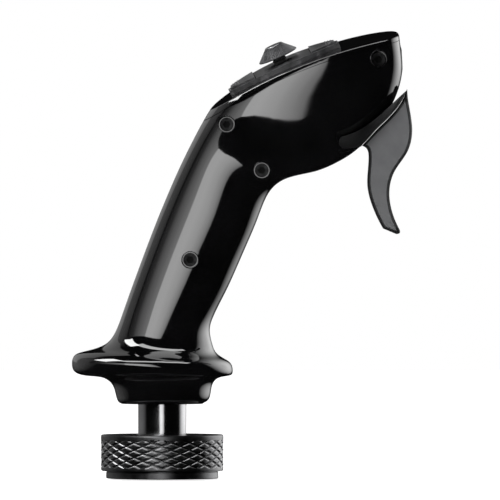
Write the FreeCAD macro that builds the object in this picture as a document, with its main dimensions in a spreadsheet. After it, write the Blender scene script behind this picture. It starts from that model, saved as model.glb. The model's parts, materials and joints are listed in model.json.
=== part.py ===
import FreeCAD, Part
import math
import os
import re
import Sketcher

# A flight-stick grip. X points forward (to the trigger), Y to the pilot's left, Z up. The origin is the
# centre of the coupling ring's lower face, on the shaft's axis. All sizes are in millimetres and degrees.

V = FreeCAD.Vector
Placement = FreeCAD.Placement
Rotation = FreeCAD.Rotation
axisX, axisY, axisZ = V(1, 0, 0), V(0, 1, 0), V(0, 0, 1)

doc = FreeCAD.newDocument("FlightJoystick")

# ---------------------------------------------------------------- driving dimensions

sizes = [
    ("ringRadius", 24.5, "coupling ring, over the knurl"),
    ("ringLip", 22.5, "coupling ring, lip at the foot"),
    ("ringLipHeight", 2.9, "coupling ring, height of the lip"),
    ("ringHeight", 17.5, "coupling ring, full height"),
    ("threadRadius", 16.95, "coupling thread, core radius of M36 x 2"),
    ("threadDepth", 10.5, "coupling thread, depth from the foot"),
    ("ringCavity", 17.6, "coupling ring, room for the hub flange"),
    ("ringWeb", 14.0, "coupling ring, underside of its web"),
    ("ringBore", 10.7, "coupling ring, hole that the shaft passes"),
    ("hubFlange", 15.4, "connector hub, flange radius"),
    ("hubFlangeTop", 13.0, "connector hub, top of the flange"),
    ("sleeveRadius", 5.94, "hub sleeve, fits in the shaft"),
    ("sleeveTop", 19.0, "hub sleeve, upper end"),
    ("hubBore", 4.9, "connector hub, bore for the insulator"),
    ("washerFoot", 13.05, "slip washer, lower face"),
    ("washerTop", 13.9, "slip washer, upper face"),
    ("washerRadius", 15.2, "slip washer, outer radius"),
    ("shaftRadius", 9.65, "shaft, outer radius"),
    ("shaftBore", 6.0, "shaft, inner radius"),
    ("shaftFoot", 13.02, "shaft, lower end"),
    ("shaftTop", 54.0, "shaft, upper end"),
    ("clampRadius", 14.2, "neck clamp, outer radius"),
    ("clampFoot", 32.4, "neck clamp, lower face"),
    ("clampTop", 50.4, "neck clamp, upper face"),
    ("clampBore", 9.7, "neck clamp, bore"),
    ("gripFoot", 29.8, "grip, lower face of the cone"),
    ("wall", 2.4, "wall of the shells"),
    ("deckRadius", 178.0, "deck, radius of its gentle arch"),
    ("deckTilt", 21.8, "deck, rise towards the nose"),
    ("deckRoll", 7.0, "deck, lean towards the thumb"),
    ("lidThickness", 1.8, "top cover, thickness"),
    ("lidGap", 0.2, "top cover, seam to the shells"),
    ("panelShift", -7.3, "control panel, centre along the deck"),
    ("panelHalfLength", 23.9, "control panel, half its length"),
    ("panelEndHalfWidth", 5.3, "control panel, half its width at the ends"),
    ("panelHalfWidth", 15.0, "control panel, half its width at the middle"),
    ("panelTop", 1.95, "control panel, height over the deck"),
    ("panelRim", 1.25, "control panel, rim round each button"),
    ("keyStart", 12.3, "buttons, inner end from the panel's centre"),
    ("keyEnd", 22.6, "buttons, outer end from the panel's centre"),
    ("keyTop", 2.75, "buttons, height over the deck"),
    ("keyThickness", 1.6, "buttons, plate thickness"),
    ("keyCentre", 17.4, "buttons, plunger from the panel's centre"),
    ("plungerRadius", 2.0, "buttons, plunger"),
    ("boardDepth", 13.0, "panel board, depth of its upper face under the deck"),
    ("boardThickness", 1.6, "circuit boards, thickness"),
    ("hatShift", -0.3, "hat, centre along the panel"),
    ("hatFoot", 4.75, "hat cap, lower rim over the deck"),
    ("hatTop", 9.65, "hat cap, top over the deck"),
    ("hatRadius", 8.1, "hat cap, radius at the lower rim"),
    ("hatCrown", 3.45, "hat cap, radius at the top"),
    ("hatHole", 4.9, "control panel, hole round the hat's neck"),
    ("hatPivot", 6.0, "hat, depth of its pivot under the deck"),
    ("stemRadius", 1.5, "hat stem, radius"),
    ("screwRadius", 1.5, "shell screws, M3"),
    ("screwSeat", 7.0, "shell screws, head seat from the parting plane"),
    ("screwEnd", 8.4, "shell screws, end beyond the parting plane"),
    ("counterbore", 3.3, "shell screws, counterbore radius"),
    ("insertRadius", 2.3, "brass inserts, outer radius"),
    ("pinRadius", 1.2, "trigger pin, radius"),
    ("bladeHalfWidth", 5.5, "trigger blade, half its width"),
    ("forkHalfWidth", 6.5, "trigger fork, half the width of its block"),
    ("forkCheek", 2.4, "trigger fork, how far its cheeks stand off the head"),
    ("forkGap", 0.45, "trigger fork, clearance to the head"),
]
sheet = doc.addObject("Spreadsheet::Sheet", "Sizes")
for row, (alias, value, note) in enumerate(sizes, start=1):
    sheet.set("A%d" % row, note)
    sheet.set("B%d" % row, str(value))
    sheet.setAlias("B%d" % row, alias)
doc.recompute()


def size(alias):
    return float(sheet.get(alias))


def bound(expression):
    # "ringBore + 1" becomes an expression on the sheet's cells
    return re.sub(r"[A-Za-z]\w*", lambda word: "Sizes." + word.group(), str(expression))


# ---------------------------------------------------------------- frames of the head

deckTurn = Rotation(axisY, -size("deckTilt")) * Rotation(axisX, size("deckRoll"))
deckPlace = Placement(V(55.28, 0, 167.43), deckTurn)
deckAxis = deckPlace.Rotation.multVec(axisY)
deckCentre = deckPlace.multVec(V(0, 0, -size("deckRadius")))


def onDeck(along):
    # a frame that stands on the arched deck, this far along it from the deck's own point
    turn = math.degrees(along / size("deckRadius"))
    down = Placement(V(0, 0, -size("deckRadius")), Rotation(axisY, turn))
    return deckPlace * down * Placement(V(0, 0, size("deckRadius")), Rotation())


panelPlace = onDeck(size("panelShift"))
hatPlace = panelPlace * Placement(V(size("hatShift"), 0, 0), Rotation())
boardPlace = Placement(V(61, 5, 141.5), Rotation(axisY, -size("deckTilt")))
pinPoint = V(73.3, 0, 134.3)

# where the four side screws stand, as (x, z); the first two also hold the top cover's lugs
coverScrews = [(86.3, 167.3), (25.8, 141.4)]
bodyScrews = [(39.8, 123.1), (11.2, 87.4)]
lugHalf = 3.0

# ---------------------------------------------------------------- ways of making a piece

pieces = []


def keep(item, label):
    item.Label = label
    pieces.append(item)
    return item


def sketchOn(body, plane, outline):
    # a closed outline of straight lines, each corner bound to the sheet in both directions
    sketch = body.newObject("Sketcher::SketchObject", "Outline")
    origin = [face for face in body.Origin.OriginFeatures if face.Role == plane][0]
    sketch.AttachmentSupport = [(origin, "")]
    sketch.MapMode = "FlatFace"
    count = len(outline)
    ring = [V(30 + 10 * math.cos(2 * math.pi * i / count), 30 + 10 * math.sin(2 * math.pi * i / count), 0)
            for i in range(count)]
    for i in range(count):
        sketch.addGeometry(Part.LineSegment(ring[i], ring[(i + 1) % count]), False)
    for i in range(count):
        sketch.addConstraint(Sketcher.Constraint("Coincident", i, 2, (i + 1) % count, 1))
    for i, (across, up) in enumerate(outline):
        for kind, value in (("DistanceX", across), ("DistanceY", up)):
            number = sketch.addConstraint(Sketcher.Constraint(kind, -1, 1, i, 1, 30.0))
            sketch.setExpression("Constraints[%d]" % number, bound(value))
    return sketch


def revolved(label, outline, place=None):
    # a turned piece; its outline is a list of (radius, height)
    body = doc.addObject("PartDesign::Body", label)
    sketch = sketchOn(body, "XZ_Plane", outline)
    turn = body.newObject("PartDesign::Revolution", "Turn")
    turn.Profile = sketch
    turn.ReferenceAxis = (sketch, ["V_Axis"])
    turn.Angle = 360
    sketch.Visibility = False
    if place:
        body.Placement = place
    return body


def cylinder(name, radius, length, place):
    item = doc.addObject("Part::Cylinder", name)
    item.setExpression("Radius", bound(radius))
    item.setExpression("Height", bound(length))
    item.Placement = place
    return item


def block(name, length, width, height, place):
    item = doc.addObject("Part::Box", name)
    item.setExpression("Length", bound(length))
    item.setExpression("Width", bound(width))
    item.setExpression("Height", bound(height))
    item.Placement = place
    return item


def joined(name, items):
    fused = doc.addObject("Part::MultiFuse", name)
    fused.Shapes = items
    return fused


def less(name, base, tools):
    cut = doc.addObject("Part::Cut", name)
    cut.Base = base
    cut.Tool = tools[0] if len(tools) == 1 else joined(name + "_tools", tools)
    return cut


def grouped(name, items):
    # separate solids in one piece, such as a set of screws
    group = doc.addObject("Part::Compound", name)
    group.Links = items
    return group


def feature(label, shape):
    item = doc.addObject("Part::Feature", label)
    item.Shape = shape
    return keep(item, label)


def alongY(x, y, z):
    # a frame whose own Z points along the stick's +Y
    return Placement(V(x, y, z), Rotation(axisX, -90))


def rodY(x, z, low, high, radius):
    return Part.makeCylinder(radius, high - low, V(x, low, z), axisY)


def arch(radius):
    # a long drum round the deck's axis
    half = 80
    return Part.makeCylinder(radius, 2 * half, deckCentre - deckAxis * half, deckAxis)


def placed(shape, place):
    moved = shape.copy()
    moved.Placement = place * moved.Placement
    return moved


# ---------------------------------------------------------------- the grip's outer form

# Each section of the grip is an oval: its front point and rear point in the XZ plane, its half width, how
# square it is (2 is an ellipse) and how much the front is narrower than the rear.
cone = [
    ((16.2, 29.8), (-16.2, 29.8), 16.2, 2, 0),
    ((17.5, 30.6), (-17.5, 30.6), 17.5, 2, 0),
    ((20.1, 37.6), (-20.1, 37.6), 20.1, 2, 0),
]
flange = [
    ((22.4, 40.1), (-23.4, 40.1), 21.8, 2, 0),
    ((27.2, 41.2), (-30.0, 41.0), 25.2, 2, 0),
    ((28.2, 43.2), (-35.2, 42.8), 28.2, 2, 0),
    ((27.5, 45.8), (-36.1, 46.0), 29.0, 2, 0),
    ((24.6, 48.0), (-35.0, 49.2), 26.0, 2, 0),
    ((21.6, 50.2), (-30.5, 50.9), 21.5, 2, 0),
    ((19.9, 54.0), (-22.8, 53.6), 18.6, 2, 0),
]
column = [
    ((19.0, 58.6), (-18.9, 58.2), 17.4, 2.05, 0),
    ((20.2, 64.2), (-15.7, 66.3), 16.8, 2.1, 0),
    ((26.0, 76.0), (-9.7, 83.0), 16.5, 2.15, 0),
    ((32.0, 89.5), (-3.5, 99.5), 16.5, 2.15, 0),
    ((37.9, 103.3), (2.3, 113.7), 16.8, 2.2, 0),
    ((42.4, 113.9), (8.4, 127.3), 17.0, 2.25, -0.03),
]
head = [
    ((47.2, 118.7), (13.8, 138.0), 17.6, 2.3, -0.06),
    ((54.5, 121.3), (21.6, 151.0), 20.2, 2.4, -0.10),
    ((62.5, 123.2), (38.0, 167.5), 22.4, 2.45, -0.14),
    ((71.0, 127.0), (57.0, 178.5), 22.8, 2.5, -0.16),
    ((79.5, 133.0), (75.0, 185.0), 22.0, 2.5, -0.16),
    ((87.4, 142.0), (86.2, 187.0), 19.5, 2.4, -0.14),
    ((93.0, 151.8), (92.4, 184.0), 15.6, 2.3, -0.10),
    ((95.3, 158.6), (94.5, 178.6), 11.4, 2.2, 0),
    ((96.1, 163.4), (95.7, 171.6), 5.2, 2, 0),
]
# the room inside the cone and the flange
foot = [
    ((14.4, 32.2), (-14.4, 32.2), 14.4, 2, 0),
    ((17.2, 38.4), (-17.2, 38.4), 17.2, 2, 0),
    ((22.4, 43.6), (-26.0, 43.4), 21.6, 2, 0),
    ((22.0, 46.0), (-29.5, 46.4), 22.4, 2, 0),
    ((19.0, 50.4), (-24.6, 49.6), 18.0, 2, 0),
]


def oval(front, rear, halfWidth, square, taper, inset=0.0):
    # one closed smooth curve through points of a superellipse
    front, rear = V(front[0], 0, front[1]), V(rear[0], 0, rear[1])
    middle = (front + rear) * 0.5
    reach = (front - rear) * 0.5
    long = reach.Length - inset
    wide = halfWidth - inset
    reach.normalize()
    points = []
    for i in range(24):
        angle = 2 * math.pi * i / 24
        along = math.copysign(abs(math.cos(angle)) ** (2 / square), math.cos(angle))
        across = math.copysign(abs(math.sin(angle)) ** (2 / square), math.sin(angle))
        points.append(middle + reach * (long * along) + V(0, wide * across * (1 + taper * along), 0))
    curve = Part.BSplineCurve()
    curve.interpolate(points, PeriodicFlag=True)
    return Part.Wire([curve.toShape()])


def loft(sections, inset=0.0):
    return Part.makeLoft([oval(*section, inset=inset) for section in sections], True, False)


def grown(sections, amount):
    # the same form, larger all round except at the rear points, which lie above the deck
    bigger = []
    for i, (front, rear, halfWidth, square, taper) in enumerate(sections):
        before = sections[max(i - 1, 0)][0]
        after = sections[min(i + 1, len(sections) - 1)][0]
        along = V(after[0] - before[0], 0, after[1] - before[1]).normalize()
        moved = (front[0] + along.z * amount, front[1] - along.x * amount)
        bigger.append((moved, rear, halfWidth + amount, square, taper))
    return bigger


wall = size("wall")
deckRadius = size("deckRadius")
lidUnder = deckRadius - size("lidThickness")
shellTop = lidUnder - size("lidGap")

outer = loft(cone + flange + column + head)
# the room inside: plain steps in the cone and flange, then smooth through the column and head
lowRoom = [oval(*section) for section in foot] + [oval(*column[0], inset=wall)]
room = Part.makeLoft(lowRoom, True, True).fuse(loft(column + head[:-1], wall))

# ---------------------------------------------------------------- shaft, hub and coupling ring

keep(revolved("coupling_ring", [
    ("threadRadius", "0"), ("ringLip", "0"), ("ringLip", "ringLipHeight"),
    ("ringRadius - 0.35", "ringLipHeight"), ("ringRadius", "ringLipHeight + 0.35"),
    ("ringRadius", "ringHeight - 0.5"), ("ringRadius - 0.5", "ringHeight"),
    ("ringBore", "ringHeight"), ("ringBore", "ringWeb"), ("ringCavity", "ringWeb"),
    ("ringCavity", "threadDepth"), ("threadRadius", "threadDepth"),
]), "coupling_ring")

keep(revolved("slip_washer", [
    ("ringBore", "washerFoot"), ("washerRadius", "washerFoot"),
    ("washerRadius", "washerTop"), ("ringBore", "washerTop"),
]), "slip_washer")

keep(revolved("main_shaft", [
    ("shaftBore", "shaftFoot"), ("shaftRadius", "shaftFoot"),
    ("shaftRadius", "shaftTop - 0.6"), ("shaftRadius - 0.6", "shaftTop"), ("shaftBore", "shaftTop"),
]), "main_shaft")

hub = revolved("hub_turned", [
    ("hubBore", "threadDepth"), ("hubFlange", "threadDepth"),
    ("hubFlange", "hubFlangeTop"), ("hubBore", "hubFlangeTop"),
])
notch = block("hub_notch", "3", "3", "4", Placement(V(13.6, -1.5, size("threadDepth") - 1), Rotation()))
keep(less("hub_cut", hub, [notch]), "connector_hub")
keep(revolved("hub_sleeve", [
    ("hubBore", "hubFlangeTop + 0.02"), ("sleeveRadius", "hubFlangeTop + 0.02"),
    ("sleeveRadius", "sleeveTop"), ("hubBore", "sleeveTop"),
]), "hub_sleeve")

contactCircle = 2.9
contactAngles = [2 * math.pi * i / 5 for i in range(5)]
contactPlaces = [V(contactCircle * math.cos(a), contactCircle * math.sin(a), 0) for a in contactAngles]
insulatorFoot = 10.8
insulatorTop = 18.0
contactFoot = 11.0
insulator = cylinder("insulator_disc", "hubBore - 0.05", insulatorTop - insulatorFoot,
                     Placement(V(0, 0, insulatorFoot), Rotation()))
contactHoles = [cylinder("contact_hole", "0.8", "10", Placement(at + V(0, 0, insulatorFoot - 1), Rotation()))
                for at in contactPlaces]
keep(less("insulator_drilled", insulator, contactHoles), "connector_insulator")
contacts = [cylinder("contact", "0.75", "8.4", Placement(at + V(0, 0, contactFoot), Rotation()))
            for at in contactPlaces]
keep(grouped("contact_set", contacts), "connector_contacts")

clampScrewAt = V(-12.0, 0, 41.4)
clampForm = revolved("clamp_turned", [
    ("clampBore", "clampFoot"), ("clampRadius - 0.6", "clampFoot"), ("clampRadius", "clampFoot + 0.6"),
    ("clampRadius", "clampTop - 0.6"), ("clampRadius - 0.6", "clampTop"), ("clampBore", "clampTop"),
])
slot = block("clamp_slot", "8", "2", "30", Placement(V(-17, -1, 28), Rotation()))
pinchHole = cylinder("clamp_hole", "screwRadius + 0.05", "11", alongY(clampScrewAt.x, -5, clampScrewAt.z))
pinchSeat = cylinder("clamp_seat", "2.95", "8", alongY(clampScrewAt.x, -12.5, clampScrewAt.z))
keep(less("clamp_cut", clampForm, [slot, pinchHole, pinchSeat]), "neck_clamp")


def socketScrew(name, place, headRadius, headHeight, radius, length):
    # the head stands on the frame's own XY plane and the shank points along its +Z
    down = place * Placement(V(0, 0, -headHeight), Rotation())
    headDisc = cylinder(name + "_head", headRadius, headHeight, down)
    shank = cylinder(name + "_shank", radius, length, place)
    socket = doc.addObject("Part::Prism", name + "_socket")
    socket.Polygon = 6
    socket.Circumradius = 0.55 * headRadius
    socket.Height = 0.62 * headHeight
    socket.Placement = down * Placement(V(0, 0, -0.02), Rotation())
    return less(name, joined(name + "_solid", [headDisc, shank]), [socket])


keep(socketScrew("clamp_pinch", alongY(clampScrewAt.x, -4.55, clampScrewAt.z), 2.75, 3.0,
                 size("screwRadius"), 10.2), "clamp_screw")

# ---------------------------------------------------------------- shells

hollowForm = outer.cut(room)
bossRadius = 4.5
far = 26.0
seat = size("screwSeat")
counterbore = size("counterbore")
insertHole = size("insertRadius") + 0.02
insertDepth = 9.2
pinBossRadius = 3.0
pinBossStart = 8.5
boardPostRadius = 2.6
boardPosts = [boardPlace.multVec(V(u, 0, 4.5)) for u in (-14.5, 14.5)]
boardBack = boardPlace.Base.y + size("boardThickness")

rightAdds = []
rightCuts = []
leftAdds = []
leftCuts = []
for x, z in coverScrews + bodyScrews:
    start = lugHalf if (x, z) in coverScrews else 0
    rightAdds.append(rodY(x, z, -far, -start, bossRadius))
    rightCuts.append(rodY(x, z, -far - 4, -seat, counterbore))
    rightCuts.append(rodY(x, z, -seat - 1, 1, size("screwRadius") + 0.15))
    leftAdds.append(rodY(x, z, start, far, bossRadius))
    leftCuts.append(rodY(x, z, -1, insertDepth, insertHole))
rightAdds.append(rodY(pinPoint.x, pinPoint.z, -far, -pinBossStart, pinBossRadius))
rightCuts.append(rodY(pinPoint.x, pinPoint.z, -far, 0, size("pinRadius") + 0.06))
leftAdds.append(rodY(pinPoint.x, pinPoint.z, pinBossStart, far, pinBossRadius))
leftCuts.append(rodY(pinPoint.x, pinPoint.z, 0, far, size("pinRadius") + 0.06))
for post in boardPosts:
    leftAdds.append(rodY(post.x, post.z, boardBack + 0.05, far, boardPostRadius))
    leftCuts.append(rodY(post.x, post.z, 0, 15, 1.15))
shaftHole = Part.makeCylinder(size("shaftRadius") + 0.25, 6, V(0, 0, size("gripFoot") - 2))


def shellHalf(side, adds, cuts):
    half = Part.makeBox(200, 60, 240, V(-60, 0 if side > 0 else -60, 0))
    form = outer.common(half).common(arch(shellTop))
    shell = hollowForm.common(half).common(arch(shellTop))
    for add in adds:
        shell = shell.fuse(add.common(form))
    for cut in cuts + [shaftHole]:
        shell = shell.cut(cut)
    return shell


feature("shell_right", shellHalf(-1, rightAdds, rightCuts))
feature("shell_left", shellHalf(1, leftAdds, leftCuts))

shellScrews = [socketScrew("shell_screw", alongY(x, -seat - 0.02, z), 2.75, 3.0, size("screwRadius"),
                           seat + size("screwEnd")) for x, z in coverScrews + bodyScrews]
keep(grouped("shell_screw_set", shellScrews), "shell_screws")

inserts = []
for x, z in coverScrews + bodyScrews:
    start = lugHalf if (x, z) in coverScrews else 0
    tube = cylinder("insert_tube", "insertRadius", "5.6", alongY(x, start + 0.2, z))
    thread = cylinder("insert_thread", "screwRadius + 0.03", "8", alongY(x, start - 1, z))
    inserts.append(less("insert", tube, [thread]))
keep(grouped("insert_set", inserts), "shell_inserts")

# ---------------------------------------------------------------- top cover

plungerHole = size("plungerRadius") + 0.3
panelScrewY = 11.4
standoffX = 23.2
boardDepth = size("boardDepth")
# each lug's stem reaches less far back than ahead, clear of the shells' rear wall
stemBack = 1.0
stemAhead = 3.8

lid = outer.common(arch(deckRadius)).cut(arch(lidUnder))
rim = [edge for edge in lid.Edges
       if all(abs(point.distanceToLine(deckCentre, deckAxis) - deckRadius) < 0.01
              for point in edge.discretize(7))]
lid = lid.makeFillet(0.9, rim)
lipOuter = loft(column + head[:-2], wall + 0.35)
lipInner = loft(column + head[:-2], wall + 1.6)
lip = lipOuter.cut(lipInner).common(arch(lidUnder + 0.1)).cut(arch(lidUnder - 2.4))
for x, z in coverScrews:
    lip = lip.cut(rodY(x, z, -far, far, bossRadius + 0.5))
lid = lid.fuse(lip)
for x, z in coverScrews:
    lug = rodY(x, z, -lugHalf + 0.1, lugHalf - 0.1, 4.2)
    stem = Part.makeBox(stemBack + stemAhead, 2 * lugHalf - 0.2, 14, V(-stemBack, -lugHalf + 0.1, 0))
    stem.Placement = Placement(V(x, 0, z), Rotation(axisY, -size("deckTilt")))
    lid = lid.fuse(lug.fuse(stem).common(arch(lidUnder + 0.4)))
    lid = lid.cut(rodY(x, z, -lugHalf, lugHalf, size("screwRadius") + 0.15))
lidHoles = [placed(Part.makeCylinder(6.4, 8, V(0, 0, -5)), hatPlace)]
for sign in (-1, 1):
    lidHoles.append(placed(Part.makeCylinder(plungerHole, 8, V(sign * size("keyCentre"), 0, -5)), panelPlace))
    lidHoles.append(placed(Part.makeCylinder(1.1, 8, V(0, sign * panelScrewY, -5)), panelPlace))
    post = placed(Part.makeCylinder(1.9, boardDepth, V(sign * standoffX, 0, 0.02 - boardDepth)), panelPlace)
    lid = lid.fuse(post.common(arch(lidUnder + 0.4)))
    lidHoles.append(placed(Part.makeCylinder(0.98, 6, V(sign * standoffX, 0, -boardDepth - 1)), panelPlace))
for hole in lidHoles:
    lid = lid.cut(hole)
feature("top_cover", lid)

# ---------------------------------------------------------------- control panel and buttons


def drum(name, radius):
    half = 60
    turn = Rotation(axisZ, deckAxis)
    return cylinder(name, radius, 2 * half, Placement(deckCentre - deckAxis * half, turn))


def lens(name, inset, start, end, low, high):
    # the bow-shaped outline between two stations, bounded by the deck's arch at two heights
    bow = (size("panelHalfLength") ** 2 + (size("panelHalfWidth") - size("panelEndHalfWidth")) ** 2)
    bow = bow / (2 * (size("panelHalfWidth") - size("panelEndHalfWidth")))
    stretch = block(name + "_stretch", end - start, "2 * panelHalfWidth", "12",
                    panelPlace * Placement(V(start, -size("panelHalfWidth"), -6), Rotation()))
    sides = []
    for sign in (-1, 1):
        centre = V(0, sign * (bow - size("panelHalfWidth")), -6)
        sides.append(cylinder(name + "_bow", bow - inset, "12", panelPlace * Placement(centre, Rotation())))
    form = doc.addObject("Part::MultiCommon", name + "_form")
    form.Shapes = [stretch] + sides + [drum(name + "_high", "deckRadius + " + str(high))]
    return less(name, form, [drum(name + "_low", "deckRadius + " + str(low))])


panelForm = lens("panel_plate", 0, -size("panelHalfLength"), size("panelHalfLength"), 0.05, size("panelTop"))
panelCuts = [cylinder("panel_hat_hole", "hatHole", "9", hatPlace * Placement(V(0, 0, -4), Rotation()))]
for sign in (-1, 1):
    ends = sorted([sign * (size("keyStart") - 0.3), sign * (size("keyEnd") + 0.3)])
    panelCuts.append(lens("key_window", size("panelRim"), ends[0], ends[1], -1, 4))
    panelCuts.append(cylinder("panel_pilot", "1.0", "3",
                              panelPlace * Placement(V(0, sign * panelScrewY, -1.6), Rotation())))
keep(less("panel_cut", panelForm, panelCuts), "control_panel")


def buttonOf(name, sign):
    ends = sorted([sign * size("keyStart"), sign * size("keyEnd")])
    inset = size("panelRim") + 0.3
    top = size("keyTop")
    plate = lens(name + "_plate", inset, ends[0], ends[1], top - size("keyThickness"), top)
    solids = [plate]
    for i in range(3):
        middle = sign * (size("keyEnd") - 1.2 - 1.1 * i)
        solids.append(lens(name + "_rib", inset + 0.5, middle - 0.28, middle + 0.28, top - 0.5, top + 0.25))
    at = sign * size("keyCentre")
    solids.append(cylinder(name + "_plunger", "plungerRadius", "9.9",
                           panelPlace * Placement(V(at, 0, -8.5), Rotation())))
    solids.append(cylinder(name + "_tip", "plungerRadius - 0.3", "2",
                           panelPlace * Placement(V(at, 0, -10.1), Rotation())))
    return joined(name + "_solid", solids)


keep(buttonOf("rear", -1), "rear_button")
keep(buttonOf("front", 1), "front_button")

switchTop = -9.6
tactile = []
for sign in (-1, 1):
    at = sign * size("keyCentre")
    case = block("tactile_case", "6.2", "6.2", str(boardDepth + switchTop - 0.02),
                 panelPlace * Placement(V(at - 3.1, -3.1, 0.02 - boardDepth), Rotation()))
    bore = cylinder("tactile_bore", "plungerRadius - 0.2", "4",
                    panelPlace * Placement(V(at, 0, switchTop - 1.7), Rotation()))
    tactile.append(less("tactile", case, [bore]))
keep(grouped("tactile_set", tactile), "button_switches")

boardForm = block("panel_board_plate", "50", "18", "boardThickness",
                  panelPlace * Placement(V(-25, -9, -boardDepth - size("boardThickness")), Rotation()))
boardHoles = [cylinder("panel_board_hole", "1.15", "4",
                       panelPlace * Placement(V(sign * standoffX, 0, -boardDepth - 3), Rotation()))
              for sign in (-1, 1)]
keep(less("panel_board_drilled", boardForm, boardHoles), "panel_board")

panelScrews = []
for sign in (-1, 1):
    under = panelPlace * Placement(V(0, sign * panelScrewY, -size("lidThickness") - 0.03), Rotation())
    panelScrews.append(socketScrew("panel_screw", under, 1.9, 1.3, 0.95, 3.05))
keep(grouped("panel_screw_set", panelScrews), "panel_screws")

# ---------------------------------------------------------------- hat switch

baseFloor = -12.98
keep(less("hat_base_drilled", revolved("hat_base_turned", [
    ("0", "0"), ("9", "0"), ("9", "9.9"), ("7.1", "9.9"), ("7.1", "1.2"), ("0", "1.2"),
], hatPlace * Placement(V(0, 0, baseFloor), Rotation())), [
    cylinder("trunnion_hole", "1.06", "20",
             hatPlace * Placement(V(-10, 0, -size("hatPivot")), Rotation(axisY, 90))),
]), "hat_base")

domes = [cylinder("dome", "1.3", "0.7",
                  hatPlace * Placement(V(4.4 * math.cos(a), 4.4 * math.sin(a), baseFloor + 1.22), Rotation()))
         for a in (0, math.pi / 2, math.pi, 1.5 * math.pi)]
keep(grouped("dome_set", domes), "hat_contacts")

gimbalRing = revolved("gimbal_ring", [
    ("4.6", "0"), ("6.2", "0"), ("6.2", "2.4"), ("4.6", "2.4"),
], hatPlace * Placement(V(0, 0, -size("hatPivot") - 1.2), Rotation()))
trunnions = [cylinder("trunnion", "1.0", "2.6",
                      hatPlace * Placement(V(x, 0, -size("hatPivot")), Rotation(axisY, 90)))
             for x in (5.8, -8.4)]
crossHole = cylinder("cross_hole", "0.96", "16",
                     hatPlace * Placement(V(0, -8, -size("hatPivot")), Rotation(axisX, -90)))
keep(less("gimbal_drilled", joined("gimbal_solid", [gimbalRing] + trunnions), [crossHole]), "hat_gimbal")

stemBall = doc.addObject("Part::Sphere", "stem_ball")
stemBall.Radius = 2.3
stemBall.Placement = hatPlace * Placement(V(0, 0, -size("hatPivot")), Rotation())
keep(joined("stem_solid", [
    cylinder("stem_rod", "stemRadius", "18.5", hatPlace * Placement(V(0, 0, -10.1), Rotation())),
    cylinder("stem_disc", "3", "0.8", hatPlace * Placement(V(0, 0, -10.1), Rotation())),
    cylinder("stem_cross", "0.9", "11.8",
             hatPlace * Placement(V(0, -5.9, -size("hatPivot")), Rotation(axisX, -90))),
    stemBall,
]), "hat_stem")

keep(revolved("hat_cap", [
    ("stemRadius + 0.04", "0.35"), ("3.0", "0.35"), ("3.0", "2.9"), ("3.7", "2.9"), ("hatRadius - 1.2", "0"),
    ("hatRadius", "0"), ("hatRadius", "0.45"), ("hatCrown + 0.35", "hatTop - hatFoot - 0.35"),
    ("hatCrown", "hatTop - hatFoot"), ("hatCrown - 0.8", "hatTop - hatFoot"),
    ("hatCrown - 1.4", "hatTop - hatFoot - 0.3"), ("0", "hatTop - hatFoot - 0.3"),
    ("0", "3.8"), ("stemRadius + 0.04", "3.8"),
], hatPlace * Placement(V(0, 0, size("hatFoot")), Rotation())), "hat_cap")

bootOutline = [("stemRadius + 0.04", "0"), ("2.6", "0")]
for fold in range(4):
    bootOutline.append(("3.0", str(0.55 + 1.1 * fold)))
    bootOutline.append(("2.6", str(1.1 + 1.1 * fold)))
bootOutline.append(("stemRadius + 0.04", "4.4"))
keep(revolved("hat_boot", bootOutline, hatPlace * Placement(V(0, 0, 0.62), Rotation())), "hat_boot")

# ---------------------------------------------------------------- main board and harness

boardLong = 34.0
boardHigh = 16.0
thickness = size("boardThickness")
mainForm = block("main_board_plate", boardLong, "boardThickness", boardHigh,
                 boardPlace * Placement(V(-boardLong / 2, 0, -boardHigh / 2), Rotation()))
mainHoles = [cylinder("main_board_hole", "1.4", "6", alongY(post.x, post.y - 2, post.z))
             for post in boardPosts]
keep(less("main_board_drilled", mainForm, mainHoles), "main_board")

screws = [socketScrew("board_screw", alongY(post.x, post.y - 0.03, post.z), 2.2, 1.6, 1.1, 8.0)
          for post in boardPosts]
for sign in (-1, 1):
    under = panelPlace * Placement(V(sign * standoffX, 0, -boardDepth - thickness - 0.03), Rotation())
    screws.append(socketScrew("standoff_screw", under, 1.9, 1.3, 0.95, 6.2))
keep(grouped("board_screw_set", screws), "board_screws")

# these stand on the board's near face, with a hair of clearance
chip = block("chip", "7", "1.2", "7", boardPlace * Placement(V(5.4, -1.22, -3.5), Rotation()))
header = block("header", "6", "4", "7.5", boardPlace * Placement(V(-16.2, -4.02, -6), Rotation()))
keep(grouped("board_part_set", [chip, header]), "board_parts")

switchCase = block("trigger_switch_case", "12.8", "5.8", "6.5",
                   boardPlace * Placement(V(-9, -5.82, -8), Rotation()))
switchNib = cylinder("trigger_switch_nib", "0.9", "1.5", boardPlace * Placement(V(-4, -2.9, -9), Rotation()))
keep(joined("trigger_switch_solid", [switchCase, switchNib]), "trigger_switch")


def softPath(corners):
    # straight runs joined by tangent arcs, each as large as its two runs allow
    edges = []
    here = corners[0]
    for before, corner, after in zip(corners, corners[1:], corners[2:]):
        towards = (corner - before)
        onwards = (after - corner)
        reach = 0.45 * min(towards.Length, onwards.Length)
        towards.normalize()
        onwards.normalize()
        first = corner - towards * reach
        last = corner + onwards * reach
        halfTurn = towards.getAngle(onwards) / 2
        radius = reach / math.tan(halfTurn)
        inward = (onwards - towards).normalize()
        crown = corner + inward * (radius / math.cos(halfTurn) - radius)
        edges.append(Part.LineSegment(here, first).toShape())
        edges.append(Part.Arc(first, crown, last).toShape())
        here = last
    edges.append(Part.LineSegment(here, corners[-1]).toShape())
    return Part.Wire(edges)


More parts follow.
